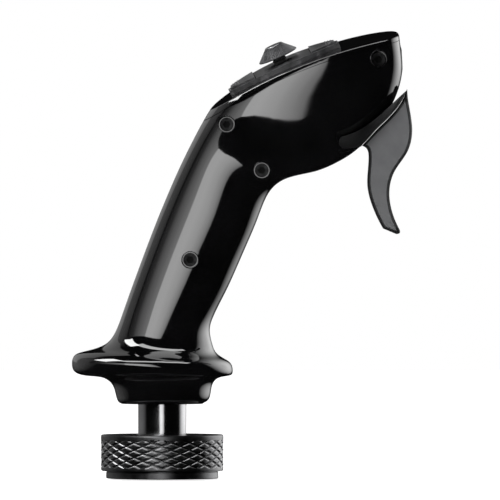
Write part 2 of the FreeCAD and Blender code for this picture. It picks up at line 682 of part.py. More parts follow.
harnessRadius = 2.0
harnessRoute = [
    V(0, 0, 19.6), V(0.5, 0, 38), V(0, 0, 57), V(12, 0, 72), V(20.5, 1, 88), V(22, 2, 104),
    V(24, 3, 118), V(34, 2.2, 130.2), V(46.0, 2.6, 133.3),
]
harnessLine = softPath(harnessRoute)
harnessWay = harnessRoute[1] - harnessRoute[0]
harnessEnd = Part.Wire([Part.Circle(harnessRoute[0], harnessWay, harnessRadius).toShape()])
feature("harness", harnessLine.makePipeShell([harnessEnd], True, False))

# ---------------------------------------------------------------- trigger: fork, blade, pin, cam

bladeHalf = size("bladeHalfWidth")
pinRadius = size("pinRadius")


def profile(stretches, half):
    # a closed outline in the XZ plane, each stretch a smooth curve or a straight line, 2 x half thick
    edges = []
    for stretch in stretches:
        points = [V(x, -half, z) for x, z in stretch]
        if len(points) == 2:
            edges.append(Part.LineSegment(points[0], points[1]).toShape())
        else:
            curve = Part.BSplineCurve()
            curve.interpolate(points)
            edges.append(curve.toShape())
    return Part.Face(Part.Wire(edges)).extrude(V(0, 2 * half, 0))


# the blade's edge, from its upper tip down the front, round the lower tip, up the rear and along the fork
bladeTip = (97.9, 155.6)
bladeFoot = (94.9, 99.4)
bladeSole = (93.6, 97.7)
bladeHeel = (88.4, 99.9)
bladeNook = (80.0, 133.0)
bladeFront = [bladeTip, (98.9, 147.4), (99.9, 138.6), (97.9, 130.4), (92.8, 122.6), (90.8, 115.0),
              (91.6, 107.6), bladeFoot]
bladeRear = [bladeHeel, (84.6, 107.6), (82.1, 117.2), (82.6, 128.2), (81.9, 131.8), bladeNook]
bladeBack = [bladeNook, (84.5, 138.2), (91.6, 145.2), bladeTip]
bladeEdge = [bladeFront, [bladeFoot, (94.9, 98.1), bladeSole], [bladeSole, bladeHeel], bladeRear, bladeBack]

# the fork's edge: upper edge from the rounded heel at the pin to the tip, then back along the blade
forkTip = (97.6, 155.0)
forkNook = (79.6, 132.8)
forkShoulder = (71.8, 136.5)
forkTop = [forkShoulder, (76.6, 138.1), (84.5, 143.1), (90.6, 148.5), forkTip]
forkSeam = [forkTip, (91.5, 145.3), (84.4, 138.3), forkNook]
forkHeel = [forkNook, (74.4, 131.7), (71.4, 132.3), (70.5, 134.6), forkShoulder]
forkEdge = [forkTop, forkSeam, forkHeel]

clearance = loft(grown(head, size("forkGap")))
fork = profile(forkEdge, far).common(loft(grown(head, size("forkCheek"))))
fork = fork.fuse(profile(forkEdge, size("forkHalfWidth"))).cut(clearance)
pinHalf = 15.4
fork = fork.cut(rodY(pinPoint.x, pinPoint.z, -pinHalf - 0.05, pinHalf + 0.05, pinRadius + 0.02))

blade = profile(bladeEdge, bladeHalf)
sides = [edge for edge in blade.Edges if abs(abs(edge.CenterOfMass.y) - bladeHalf) < 0.001]
blade = blade.makeChamfer(0.7, sides).cut(clearance)
feature("trigger_blade", blade)
feature("trigger_fork", fork.cut(blade))

keep(cylinder("pin_rod", "pinRadius", 2 * pinHalf, alongY(pinPoint.x, -pinHalf, pinPoint.z)), "trigger_pin")

# a finger on the pin reaches back under the switch; it stands this far below level
camAngle = 24.6
camPlace = Placement(pinPoint, Rotation(axisY, -camAngle))
camHub = cylinder("cam_hub", "2.2", "4.8", alongY(pinPoint.x, -0.4, pinPoint.z))
camArm = block("cam_arm", "14.4", "3.6", "2", camPlace * Placement(V(-14.4, 0.2, -1), Rotation()))
camBore = cylinder("cam_bore", "pinRadius + 0.02", "10", alongY(pinPoint.x, -3, pinPoint.z))
keep(less("cam_drilled", joined("cam_solid", [camHub, camArm]), [camBore]), "trigger_cam")

# torsion spring: a coil round the pin with a straight leg at each end
coilRadius = 1.75
wireRadius = 0.25
coilStart = -6.4
coilLength = 4.5
coilTurn = 235
legLength = 3.6
turns = Part.makeHelix(0.9, coilLength, coilRadius).Edges[0]
coilFoot = turns.valueAt(turns.FirstParameter)
coilHead = turns.valueAt(turns.LastParameter)
legWay = turns.tangentAt(turns.FirstParameter)
legEnd = coilFoot - legWay * legLength
springLine = Part.Wire([
    Part.LineSegment(legEnd, coilFoot).toShape(),
    turns,
    Part.LineSegment(coilHead, coilHead + turns.tangentAt(turns.LastParameter) * legLength).toShape(),
])
wireEnd = Part.Wire([Part.Circle(legEnd, legWay, wireRadius).toShape()])
spring = springLine.makePipeShell([wireEnd], True, True)
springTurn = Placement(V(0, 0, 0), Rotation(axisZ, coilTurn))
spring.Placement = alongY(pinPoint.x, coilStart, pinPoint.z) * springTurn
feature("trigger_spring", spring)

# ---------------------------------------------------------------- check and write

doc.recompute()
for item in doc.Objects:
    if "Invalid" in item.State or "Error" in item.State:
        raise RuntimeError("%s failed: %s" % (item.Name, item.State))
for item in pieces:
    if item.Shape.isNull() or not item.Shape.isValid() or item.Shape.Volume <= 0:
        raise RuntimeError("%s has no valid shape" % item.Label)

os.makedirs("parts", exist_ok=True)
for item in pieces:
    item.Shape.exportStep("parts/%s.step" % item.Label)
    box = item.Shape.optimalBoundingBox()
    print("%-20s %9.1f mm3, %d solids, z %.1f to %.1f"
          % (item.Label, item.Shape.Volume, len(item.Shape.Solids), box.ZMin, box.ZMax))
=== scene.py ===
import json
import math
import bmesh
import bpy
import numpy as np
from mathutils import Matrix, Vector
from mathutils.bvhtree import BVHTree
from mathutils.kdtree import KDTree


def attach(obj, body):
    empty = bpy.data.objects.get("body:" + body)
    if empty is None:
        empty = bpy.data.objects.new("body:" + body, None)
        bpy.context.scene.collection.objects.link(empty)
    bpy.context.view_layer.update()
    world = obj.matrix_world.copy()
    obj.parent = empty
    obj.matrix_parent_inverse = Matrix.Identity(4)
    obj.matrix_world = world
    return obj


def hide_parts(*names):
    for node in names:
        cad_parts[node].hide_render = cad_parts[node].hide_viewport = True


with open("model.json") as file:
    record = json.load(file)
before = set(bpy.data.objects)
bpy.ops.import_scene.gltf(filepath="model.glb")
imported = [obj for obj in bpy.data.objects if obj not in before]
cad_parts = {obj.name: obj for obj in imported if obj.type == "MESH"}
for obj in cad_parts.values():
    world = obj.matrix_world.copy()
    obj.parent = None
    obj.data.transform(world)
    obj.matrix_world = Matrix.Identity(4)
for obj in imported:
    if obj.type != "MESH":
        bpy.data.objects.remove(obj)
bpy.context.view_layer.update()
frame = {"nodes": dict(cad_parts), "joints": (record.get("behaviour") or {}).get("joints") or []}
nodes = frame["nodes"]
joints = {joint["name"]: joint for joint in frame["joints"]}
mm = 0.001
print("frame:", len(nodes), "nodes")

# Finishes: tones are the two base colours, rough the least and most roughness, blotch and grain the
# number of patches and of grains in a metre, relief the grain's height in mm, and stretch draws the
# grain out along an axis. The last colour is that of bare spots on worn edges and, on the ring's knurl
# edges and the hat's rim, also a painted highlight; it shows above its set level of an edge's pointiness
# or, when an attribute is named, of that attribute on the piece.
finishes = {
    "glossBlack": {
        "tones": [(0.0010, 0.0010, 0.0011), (0.0022, 0.0022, 0.0024)], "rough": (0.03, 0.075),
        "blotch": 55, "grain": 2400, "relief": 0.00004, "ior": 1.8,
    },
    "satinBlack": {
        "tones": [(0.009, 0.009, 0.0095), (0.017, 0.017, 0.018)], "rough": (0.36, 0.52),
        "blotch": 160, "grain": 5200, "relief": 0.02, "wearAndHighlight": (0.12, 0.12, 0.125), "wearAndHighlightFrom": 0.55,
    },
    "forkBlack": {
        "tones": [(0.0035, 0.0035, 0.0037), (0.008, 0.008, 0.0084)], "rough": (0.36, 0.52),
        "blotch": 120, "grain": 6500, "relief": 0.02,
    },
    "blackSteel": {
        "tones": [(0.003, 0.003, 0.0032), (0.006, 0.006, 0.006)], "rough": (0.5, 0.65), "ior": 1.25,
        "blotch": 500, "grain": 5000, "relief": 0.008, "wearAndHighlight": (0.06, 0.06, 0.062), "wearAndHighlightFrom": 0.56,
    },
    "collarSteel": {
        "tones": [(0.05, 0.05, 0.052), (0.085, 0.085, 0.088)], "metallic": 1, "rough": (0.2, 0.34),
        "blotch": 700, "grain": 6000, "relief": 0.003,
    },
    "turnedBrass": {
        "tones": [(0.62, 0.44, 0.18), (0.80, 0.60, 0.28)], "metallic": 1, "rough": (0.22, 0.42),
        "blotch": 300, "grain": 2600, "relief": 0.012, "stretch": (0.1, 1, 0.1),
    },
    "polishedSteel": {
        "tones": [(0.24, 0.24, 0.245), (0.33, 0.33, 0.335)], "metallic": 1, "rough": (0.10, 0.18),
        "blotch": 90, "grain": 3800, "relief": 0.0012, "stretch": (0.02, 0.02, 1),
    },
    "castAluminium": {
        "tones": [(0.42, 0.43, 0.45), (0.58, 0.59, 0.61)], "metallic": 1, "rough": (0.4, 0.6),
        "blotch": 220, "grain": 4200, "relief": 0.03,
    },
    "blackAnodised": {
        "tones": [(0.075, 0.075, 0.077), (0.12, 0.12, 0.123)], "metallic": 1, "rough": (0.26, 0.38),
        "blotch": 180, "grain": 3000, "relief": 0.006, "stretch": (0.06, 0.06, 1),
        # lighter knurl edges: partly edge wear, partly a painted highlight
        "wearAndHighlight": (0.26, 0.26, 0.265), "wearAndHighlightFrom": 0.74, "wearAndHighlightBy": "crest",
    },
    "ribbedMetal": {
        "tones": [(0.085, 0.085, 0.088), (0.13, 0.13, 0.134)], "metallic": 1, "rough": (0.30, 0.45),
        "blotch": 400, "grain": 6000, "relief": 0.006,
        # the light colour on the hat's rim is a painted highlight
        "wearAndHighlight": (0.42, 0.42, 0.43), "wearAndHighlightFrom": 0.80, "wearAndHighlightBy": "crest",
    },
    "greyMetal": {
        "tones": [(0.150, 0.152, 0.157), (0.190, 0.192, 0.197)], "metallic": 0.75, "rough": (0.48, 0.60),
        "blotch": 130, "grain": 5200, "relief": 0.035,
    },
    "bladeBorder": {
        "tones": [(0.016, 0.016, 0.017), (0.028, 0.028, 0.029)], "metallic": 0.6, "rough": (0.34, 0.5),
        "blotch": 260, "grain": 5200, "relief": 0.015,
    },
    "zincSteel": {
        "tones": [(0.50, 0.51, 0.53), (0.66, 0.66, 0.62)], "metallic": 1, "rough": (0.22, 0.4),
        "blotch": 420, "grain": 4200, "relief": 0.006,
    },
    "insulator": {
        "tones": [(0.030, 0.030, 0.032), (0.046, 0.045, 0.044)], "rough": (0.40, 0.58),
        "blotch": 240, "grain": 5200, "relief": 0.015,
    },
    "goldContacts": {
        "tones": [(0.78, 0.55, 0.20), (0.90, 0.68, 0.32)], "metallic": 1, "rough": (0.14, 0.28),
        "blotch": 700, "grain": 6000, "relief": 0.003,
    },
    "nylon": {
        "tones": [(0.70, 0.69, 0.64), (0.80, 0.79, 0.75)], "rough": (0.36, 0.5),
        "blotch": 200, "grain": 2600, "relief": 0.012, "subsurface": 0.3,
    },
    "cableSleeve": {
        "tones": [(0.016, 0.016, 0.016), (0.030, 0.030, 0.030)], "rough": (0.55, 0.75),
        "blotch": 300, "grain": 3400, "relief": 0.06, "stretch": (1, 1, 0.35),
    },
    "blackRubber": {
        "tones": [(0.014, 0.014, 0.014), (0.024, 0.024, 0.024)], "rough": (0.55, 0.72),
        "blotch": 350, "grain": 4600, "relief": 0.03,
    },
}
made = {}


def noiseOf(tree, coordinates, scale, detail):
    noise = tree.nodes.new("ShaderNodeTexNoise")
    noise.inputs["Scale"].default_value = scale
    noise.inputs["Detail"].default_value = detail
    tree.links.new(coordinates, noise.inputs["Vector"])
    return noise.outputs["Fac"]


def rangeOf(tree, value, fromLow, fromHigh, toLow, toHigh):
    spread = tree.nodes.new("ShaderNodeMapRange")
    limits = {"From Min": fromLow, "From Max": fromHigh, "To Min": toLow, "To Max": toHigh}
    for socket, number in limits.items():
        spread.inputs[socket].default_value = number
    tree.links.new(value, spread.inputs["Value"])
    return spread.outputs["Result"]


def blendOf(tree, factor, first, second):
    # a colour between two, each a plain colour or another node's output
    mix = tree.nodes.new("ShaderNodeMix")
    mix.data_type = "RGBA"
    tree.links.new(factor, mix.inputs[0])
    for socket, colour in ((mix.inputs[6], first), (mix.inputs[7], second)):
        if isinstance(colour, tuple):
            socket.default_value = (*colour, 1)
        else:
            tree.links.new(colour, socket)
    return mix.outputs[2]


def finishOf(name):
    if name in made:
        return made[name]
    look = finishes[name]
    material = bpy.data.materials.new(name)
    material.use_nodes = True
    tree = material.node_tree
    shader = tree.nodes["Principled BSDF"]
    coordinates = tree.nodes.new("ShaderNodeTexCoord").outputs["Object"]
    mapping = tree.nodes.new("ShaderNodeMapping")
    mapping.inputs["Scale"].default_value = look.get("stretch", (1, 1, 1))
    tree.links.new(coordinates, mapping.inputs["Vector"])
    blotch = noiseOf(tree, coordinates, look["blotch"], 5)
    grain = noiseOf(tree, mapping.outputs["Vector"], look["grain"], 3)
    colour = blendOf(tree, rangeOf(tree, blotch, 0.35, 0.65, 0, 1), *look["tones"])
    if "wearAndHighlight" in look:
        if "wearAndHighlightBy" in look:
            height = tree.nodes.new("ShaderNodeAttribute")
            height.attribute_name = look["wearAndHighlightBy"]
            edge = height.outputs["Fac"]
        else:
            edge = tree.nodes.new("ShaderNodeNewGeometry").outputs["Pointiness"]
        # where the light colour goes: bare spots on worn edges, and painted highlights where a piece's attribute
        # asks for them
        wearAndHighlightMask = rangeOf(tree, edge, look["wearAndHighlightFrom"] - 0.04, look["wearAndHighlightFrom"] + 0.04, 0, 1)
        patchy = tree.nodes.new("ShaderNodeMath")
        patchy.operation = "MULTIPLY"
        tree.links.new(wearAndHighlightMask, patchy.inputs[0])
        tree.links.new(rangeOf(tree, blotch, 0.4, 0.6, 0.35, 1), patchy.inputs[1])
        colour = blendOf(tree, patchy.outputs[0], colour, look["wearAndHighlight"])
    tree.links.new(colour, shader.inputs["Base Color"])
    low, high = look["rough"]
    tree.links.new(rangeOf(tree, blotch, 0.3, 0.7, low, high), shader.inputs["Roughness"])
    bump = tree.nodes.new("ShaderNodeBump")
    bump.inputs["Distance"].default_value = look["relief"] * mm
    bump.inputs["Strength"].default_value = 1
    tree.links.new(grain, bump.inputs["Height"])
    tree.links.new(bump.outputs["Normal"], shader.inputs["Normal"])
    shader.inputs["Metallic"].default_value = look.get("metallic", 0)
    shader.inputs["IOR"].default_value = look.get("ior", 1.5)
    shader.inputs["Subsurface Weight"].default_value = look.get("subsurface", 0)
    if "subsurface" in look:
        shader.inputs["Subsurface Scale"].default_value = 1 * mm
    made[name] = material
    return material


boardLook = {
    "mask": (0.006, 0.055, 0.030), "trace": (0.012, 0.105, 0.055), "pad": (0.62, 0.55, 0.36),
    "traceScale": 420, "padScale": 330, "turn": math.radians(21.8),
}


def boardFinish():
    # solder mask over right-angled traces, with tinned pads
    material = bpy.data.materials.new("circuitBoard")
    material.use_nodes = True
    tree = material.node_tree
    shader = tree.nodes["Principled BSDF"]
    mapping = tree.nodes.new("ShaderNodeMapping")
    mapping.inputs["Rotation"].default_value = (0, boardLook["turn"], 0)
    tree.links.new(tree.nodes.new("ShaderNodeTexCoord").outputs["Object"], mapping.inputs["Vector"])
    cells = tree.nodes.new("ShaderNodeTexVoronoi")
    cells.distance = "MANHATTAN"
    cells.inputs["Scale"].default_value = boardLook["traceScale"]
    dots = tree.nodes.new("ShaderNodeTexVoronoi")
    dots.inputs["Scale"].default_value = boardLook["padScale"]
    dots.inputs["Randomness"].default_value = 0.3
    for texture in (cells, dots):
        tree.links.new(mapping.outputs["Vector"], texture.inputs["Vector"])
    lines = rangeOf(tree, cells.outputs["Distance"], 0.38, 0.44, 0, 1)
    pads = rangeOf(tree, dots.outputs["Distance"], 0.14, 0.18, 1, 0)
    colour = blendOf(tree, lines, boardLook["mask"], boardLook["trace"])
    tree.links.new(blendOf(tree, pads, colour, boardLook["pad"]), shader.inputs["Base Color"])
    tree.links.new(pads, shader.inputs["Metallic"])
    tree.links.new(rangeOf(tree, lines, 0, 1, 0.32, 0.24), shader.inputs["Roughness"])
    bump = tree.nodes.new("ShaderNodeBump")
    bump.inputs["Distance"].default_value = 0.05 * mm
    tree.links.new(lines, bump.inputs["Height"])
    tree.links.new(bump.outputs["Normal"], shader.inputs["Normal"])
    return material


made["circuitBoard"] = boardFinish()

nodeFinish = {
    "shell_right": "glossBlack", "shell_left": "glossBlack", "top_cover": "glossBlack",
    "shell_screws": "blackSteel", "shell_inserts": "turnedBrass", "main_shaft": "polishedSteel",
    "neck_clamp": "castAluminium", "clamp_screw": "blackSteel", "connector_hub": "castAluminium",
    "hub_sleeve": "castAluminium", "connector_insulator": "insulator",
    "connector_contacts": "goldContacts", "slip_washer": "nylon",
    "coupling_ring": "blackAnodised", "harness": "cableSleeve", "main_board": "circuitBoard",
    "board_screws": "zincSteel", "board_parts": "insulator", "control_panel": "satinBlack",
    "panel_screws": "zincSteel", "panel_board": "circuitBoard", "rear_button": "satinBlack",
    "front_button": "satinBlack", "button_switches": "insulator", "hat_cap": "ribbedMetal",
    "hat_stem": "zincSteel", "hat_gimbal": "castAluminium", "hat_base": "insulator",
    "hat_contacts": "goldContacts", "hat_boot": "blackRubber", "trigger_blade": "greyMetal",
    "trigger_fork": "forkBlack", "trigger_pin": "zincSteel", "trigger_cam": "insulator",
    "trigger_spring": "zincSteel", "trigger_switch": "insulator",
}
for name, finish in nodeFinish.items():
    nodes[name].data.materials.clear()
    nodes[name].data.materials.append(finishOf(finish))
print("finishes:", len(made))


def turned(outline, steps):
    # a closed outline of (radius, height, rows to the next corner) in mm, spun about Z
    form = bmesh.new()
    for i, (radius, height, rows) in enumerate(outline):
        start = Vector((radius, 0, height)) * mm
        end = Vector((outline[(i + 1) % len(outline)][0], 0, outline[(i + 1) % len(outline)][1])) * mm
        for row in range(rows):
            form.verts.new(start.lerp(end, row / rows))
    loop = form.verts[:]
    for before, after in zip(loop, loop[1:] + loop[:1]):
        form.edges.new((before, after))
    bmesh.ops.spin(form, geom=form.verts[:] + form.edges[:], cent=(0, 0, 0), axis=(0, 0, 1),
                   angle=2 * math.pi, steps=steps, use_merge=True)
    bmesh.ops.remove_doubles(form, verts=form.verts, dist=0.001 * mm)
    return form


def pieceFrom(form, name, look):
    # gives a mesh its finish and its body, and hides the node that it stands for
    bmesh.ops.recalc_face_normals(form, faces=form.faces)
    mesh = bpy.data.meshes.new(name)
    form.to_mesh(mesh)
    form.free()
    for finish in look["finishes"]:
        mesh.materials.append(finishOf(finish))
    mesh.shade_smooth()
    mesh.set_sharp_from_angle(angle=math.radians(look.get("crisp", 30)))
    piece = bpy.data.objects.new(name, mesh)
    bpy.context.collection.objects.link(piece)
    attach(piece, look["body"])
    if "node" in look:
        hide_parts(look["node"])
    print("piece:", name, len(mesh.polygons), "faces")
    return piece


def nearestLine(value):
    # how far a number is from the nearest whole one
    return abs(value - round(value))


# coupling ring: diamond knurl outside, thread inside
ring = {
    "body": "ring", "node": "coupling_ring", "slot": "black_anodised", "finishes": ["blackAnodised"],
    "steps": 320, "radius": 24.5, "diamonds": 20, "diamondHeight": 2.95, "rows": 60,
    "rowsInDiamond": 16, "knurlFoot": 4.37, "groove": 0.60, "land": 0.20, "fade": 0.37,
    "crestWidth": 0.34, "crestFall": 2.2, "hollow": 0.45,
    "threadRadius": 16.95, "threadTop": 10.1, "threadFoot": 0.7, "threadPitch": 2.0, "threadDepth": 0.9,
}
ring["knurlTop"] = ring["knurlFoot"] + ring["rows"] * ring["diamondHeight"] / ring["rowsInDiamond"]
ringForm = turned([
    (17.6, 0, 1), (22.2, 0, 1), (22.5, 0.3, 1), (22.5, 2.55, 1), (22.05, 2.72, 1), (22.05, 2.95, 1),
    (24.05, 3.0, 1), (24.4, 3.12, 1), (ring["radius"], 3.45, 2),
    (ring["radius"], ring["knurlFoot"], ring["rows"]), (ring["radius"], ring["knurlTop"], 3),
    (ring["radius"], 17.0, 1), (24.38, 17.34, 1), (24.0, 17.5, 6), (11.4, 17.5, 1),
    (10.85, 17.35, 1), (10.7, 17.0, 1), (10.7, 14.4, 1), (11.1, 14.0, 2), (17.2, 14.0, 1), (17.6, 13.6, 1),
    (17.6, 10.6, 1), (ring["threadRadius"], ring["threadTop"], 54),
    (ring["threadRadius"], ring["threadFoot"], 1),
], ring["steps"])
crest = ringForm.verts.layers.float.new("crest")
for vert in ringForm.verts:
    radius = math.hypot(vert.co.x, vert.co.y) / mm
    height = vert.co.z / mm
    turn = math.atan2(vert.co.y, vert.co.x) / (2 * math.pi)
    moved = radius
    if radius > ring["radius"] - 0.01 and ring["knurlFoot"] - 0.01 < height < ring["knurlTop"] + 0.01:
        up = (height - ring["knurlFoot"]) / ring["diamondHeight"]
        near = min(nearestLine(turn * ring["diamonds"] + up), nearestLine(turn * ring["diamonds"] - up))
        land = min(1, near / ring["land"])
        ends = min(height - ring["knurlFoot"], ring["knurlTop"] - height) / ring["fade"]
        moved = radius - ring["groove"] * (1 - land) * min(1, max(0, ends))
        # crest peaks along the diamonds' edges, where the ring gets a lighter colour: partly edge wear, partly a
        # painted highlight
        vert[crest] = ring["hollow"]
        if near < ring["crestWidth"]:
            vert[crest] = 1 - ring["crestFall"] * abs(near - ring["land"])
    if abs(radius - ring["threadRadius"]) < 0.01 and ring["threadFoot"] <= height <= ring["threadTop"]:
        flank = nearestLine(height / ring["threadPitch"] - turn)
        ends = min(height - ring["threadFoot"], ring["threadTop"] - height) / ring["fade"]
        moved = radius + ring["threadDepth"] * (1 - 2 * flank) * min(1, max(0, ends))
    vert.co.x *= moved / radius
    vert.co.y *= moved / radius
pieceFrom(ringForm, "ringKnurled", ring)

# hat cap: a fine square knurl on its flank, a dished top with a painted highlight on its rim
hatAxes = [Vector(joints[name]["axis"]) for name in ("hat_roll", "hat_pitch")]
hatAxes.append(hatAxes[0].cross(hatAxes[1]))
hatPivot = Vector(joints["hat_roll"]["pos_m"])
hat = {
    "body": "hat", "node": "hat_cap", "slot": "dark_metal", "finishes": ["ribbedMetal"],
    "steps": 336, "ribs": 56, "rings": 13, "rows": 65, "groove": 0.2, "foot": 4.75, "pivotDepth": 6.0,
    "flankFoot": (8.1, 0.45), "flankTop": (3.8, 4.55), "land": 0.3, "rimRadius": 2.8, "rimHeight": 4.7,
}
hatForm = turned([
    (1.54, 0.35, 1), (3.0, 0.35, 2), (3.0, 2.9, 1), (3.7, 2.9, 3), (6.9, 0.12, 1), (7.1, 0, 2), (7.9, 0, 1),
    (8.06, 0.1, 1), (*hat["flankFoot"], hat["rows"]), (*hat["flankTop"], 1), (3.62, 4.78, 1),
    (3.35, 4.9, 1), (2.85, 4.9, 1), (2.55, 4.83, 2), (2.05, 4.6, 3), (0, 4.6, 1), (0, 3.8, 1),
    (1.54, 3.8, 1),
], hat["steps"])
flankX = hat["flankTop"][0] - hat["flankFoot"][0]
flankZ = hat["flankTop"][1] - hat["flankFoot"][1]
flankLength = math.hypot(flankX, flankZ)
crest = hatForm.verts.layers.float.new("crest")
for vert in hatForm.verts:
    radius = math.hypot(vert.co.x, vert.co.y) / mm
    along = (vert.co.z / mm - hat["flankFoot"][1]) / flankZ
    onFlank = abs(radius - hat["flankFoot"][0] - along * flankX) < 0.01 and 0.001 < along < 0.999
    onRim = radius > hat["rimRadius"] and vert.co.z / mm > hat["rimHeight"]
    # the rim's crest of 1 gives it the painted highlight; the flank stays below the level
    vert[crest] = 1 if onRim else 0.4
    if onFlank:
        turn = math.atan2(vert.co.y, vert.co.x) / (2 * math.pi)
        near = min(nearestLine(turn * hat["ribs"]), nearestLine(along * hat["rings"]))
        land = min(1, near / hat["land"])
        deep = hat["groove"] * (1 - land)
        vert[crest] = 0.3 + 0.4 * land
        vert.co.x *= (radius - deep * flankZ / flankLength) / radius
        vert.co.y *= (radius - deep * flankZ / flankLength) / radius
        vert.co.z += deep * flankX / flankLength * mm
place = Matrix([[axis[i] for axis in hatAxes] + [hatPivot[i]] for i in range(3)] + [[0, 0, 0, 1]])
place = place @ Matrix.Translation((0, 0, (hat["foot"] + hat["pivotDepth"]) * mm))
bmesh.ops.transform(hatForm, matrix=place, verts=hatForm.verts)
pieceFrom(hatForm, "hatRibbed", hat)


def copyOf(node):
    # a CAD node's mesh with its loose triangles joined
    form = bmesh.new()
    form.from_mesh(nodes[node].data)
    bmesh.ops.remove_doubles(form, verts=form.verts, dist=0.002 * mm)
    return form


def fittedNormals(mesh, near, least, falloff, mostTurn):
    # on each large smooth face, a normal from the curved patch that fits a point's neighbours best
    corners = [vert.co for vert in mesh.vertices]
    normals = [Vector((0, 0, 0)) for corner in corners]
    island = list(range(len(corners)))

    def rootOf(i):
        while island[i] != i:
            island[i] = island[island[i]]
            i = island[i]
        return i

    for polygon in mesh.polygons:
        first = rootOf(polygon.vertices[0])
        for other in polygon.vertices[1:]:
            island[rootOf(other)] = first
    for loop, normal in zip(mesh.loops, mesh.corner_normals):
        normals[loop.vertex_index] += normal.vector
    members = {}
    for i in range(len(corners)):
        members.setdefault(rootOf(i), []).append(i)
    for group in members.values():
        if len(group) < least:
            continue
        tree = KDTree(len(group))
        for place, i in enumerate(group):
            tree.insert(corners[i], place)
        tree.balance()
        points = np.array([corners[i] for i in group])
        ups = np.array([normals[i].normalized() for i in group])
        close = np.array([[found[1] for found in tree.find_n(corners[i], near)] for i in group])
        aside = np.cross(ups, np.where(np.abs(ups[:, :1]) < 0.8, [[1.0, 0, 0]], [[0, 1.0, 0]]))
        aside /= np.linalg.norm(aside, axis=1, keepdims=True)
        across = np.cross(ups, aside)
        apart = points[close] - points[:, None, :]
        reach = np.linalg.norm(apart, axis=2).max(axis=1)[:, None]
        u = np.einsum("ijk,ik->ij", apart, aside) / reach
        v = np.einsum("ijk,ik->ij", apart, across) / reach
        height = np.einsum("ijk,ik->ij", apart, ups) / reach
        weight = np.exp(-falloff * (u * u + v * v))
        terms = np.stack([u * u, u * v, v * v, u, v, np.ones_like(u)], axis=2) * weight[:, :, None]
        square = np.einsum("ijk,ijl->ikl", terms, terms) + 1e-7 * np.eye(6)
        right = np.einsum("ijk,ij->ik", terms, height * weight)
        fit = np.linalg.solve(square, right[:, :, None])[:, :, 0]
        better = ups - aside * fit[:, 3:4] - across * fit[:, 4:5]
        better /= np.linalg.norm(better, axis=1, keepdims=True)
        sure = np.einsum("ij,ij->i", better, ups) > math.cos(math.radians(mostTurn))
        for place, i in enumerate(group):
            if sure[place]:
                normals[i] = Vector(better[place])
    return [normal.normalized() for normal in normals]


# the glossy shells and top cover, with normals fine enough for clean reflections
gloss = {
    "body": "grip", "slot": "gloss_black",
    # points in each fit, points a face needs, how fast they count less, and the most a normal may turn
    "near": 22, "least": 300, "falloff": 1.5, "mostTurn": 8,
    "pieces": {"shellRight": "shell_right", "shellLeft": "shell_left", "coverGloss": "top_cover"},
}
for name, node in gloss["pieces"].items():
    mesh = nodes[node].data.copy()
    mesh.name = name
    normals = fittedNormals(mesh, gloss["near"], gloss["least"], gloss["falloff"], gloss["mostTurn"])
    mesh.normals_split_custom_set_from_vertices(normals)
    piece = bpy.data.objects.new(name, mesh)
    bpy.context.collection.objects.link(piece)
    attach(piece, gloss["body"])
    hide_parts(node)
    print("piece:", name, len(mesh.polygons), "faces")


def softEdges(piece, width):
    # rounds the edges that turn more than 35 degrees
    bevel = piece.modifiers.new("edges", "BEVEL")
    bevel.width = width * mm
    bevel.segments = 2
    bevel.limit_method = "ANGLE"
    bevel.angle_limit = math.radians(35)


# trigger blade: grey faces inside a dark bevelled border
blade = {
    "body": "trigger", "node": "trigger_blade", "slot": "grey_metal",
    "finishes": ["greyMetal", "bladeBorder"], "border": 0.5, "faceNormal": 0.97, "crisp": 25,
}
bladeForm = copyOf("trigger_blade")
bmesh.ops.dissolve_limit(bladeForm, angle_limit=math.radians(0.5), verts=bladeForm.verts,
                         edges=bladeForm.edges)
for face in bladeForm.faces:
    face.material_index = 1
flats = [face for face in bladeForm.faces if abs(face.normal.y) > blade["faceNormal"]]
bmesh.ops.inset_region(bladeForm, faces=flats, thickness=blade["border"] * mm, use_even_offset=True)
for face in flats:
    face.material_index = 0
pieceFrom(bladeForm, "bladeCast", blade)

# control panel and its two keys, with softened edges
panel = {
    "body": "grip", "node": "control_panel", "slot": "satin_black", "finishes": ["satinBlack"], "edge": 0.28,
}
rearKey = {
    "body": "rear_key", "node": "rear_button", "slot": "satin_black", "finishes": ["satinBlack"], "edge": 0.12,
}
frontKey = {
    "body": "front_key", "node": "front_button", "slot": "satin_black", "finishes": ["satinBlack"], "edge": 0.12,
}
for name, look in (("panelMoulded", panel), ("keyRear", rearKey), ("keyFront", frontKey)):
    form = copyOf(look["node"])
    bmesh.ops.dissolve_limit(form, angle_limit=math.radians(1), verts=form.verts, edges=form.edges)
    softEdges(pieceFrom(form, name, look), look["edge"])

# thin collars round the four screw holes, whose places are x and z in mm
collars = {
    "body": "grip", "slot": "black_steel", "finishes": ["collarSteel"], "steps": 72, "reach": 3.6,
    "holes": [(86.3, 167.3), (25.8, 141.4), (39.8, 123.1), (11.2, 87.4)],
    "outline": [
        (3.16, -0.5, 1), (3.16, 0.02, 1), (3.22, 0.1, 1), (3.32, 0.13, 1), (3.42, 0.1, 1), (3.5, 0.0, 1),
        (3.5, -0.5, 1),
    ],
}
shellSurface = BVHTree.FromPolygons(
    [vert.co for vert in nodes["shell_right"].data.vertices],
    [tuple(polygon.vertices) for polygon in nodes["shell_right"].data.polygons])
collarForm = bmesh.new()
for x, z in collars["holes"]:
    form = turned(collars["outline"], collars["steps"])
    for vert in form.verts:
        way = Vector((vert.co.x, 0, vert.co.y)).normalized() * collars["reach"] * mm
        hit = shellSurface.ray_cast(Vector((x * mm + way.x, -0.1, z * mm + way.z)), Vector((0, 1, 0)))[0]
        vert.co = Vector((x * mm + vert.co.x, hit.y - vert.co.z, z * mm + vert.co.y))
    whole = bpy.data.meshes.new("collar")
    form.to_mesh(whole)
    form.free()
    collarForm.from_mesh(whole)
    bpy.data.meshes.remove(whole)
pieceFrom(collarForm, "screwCollars", collars)

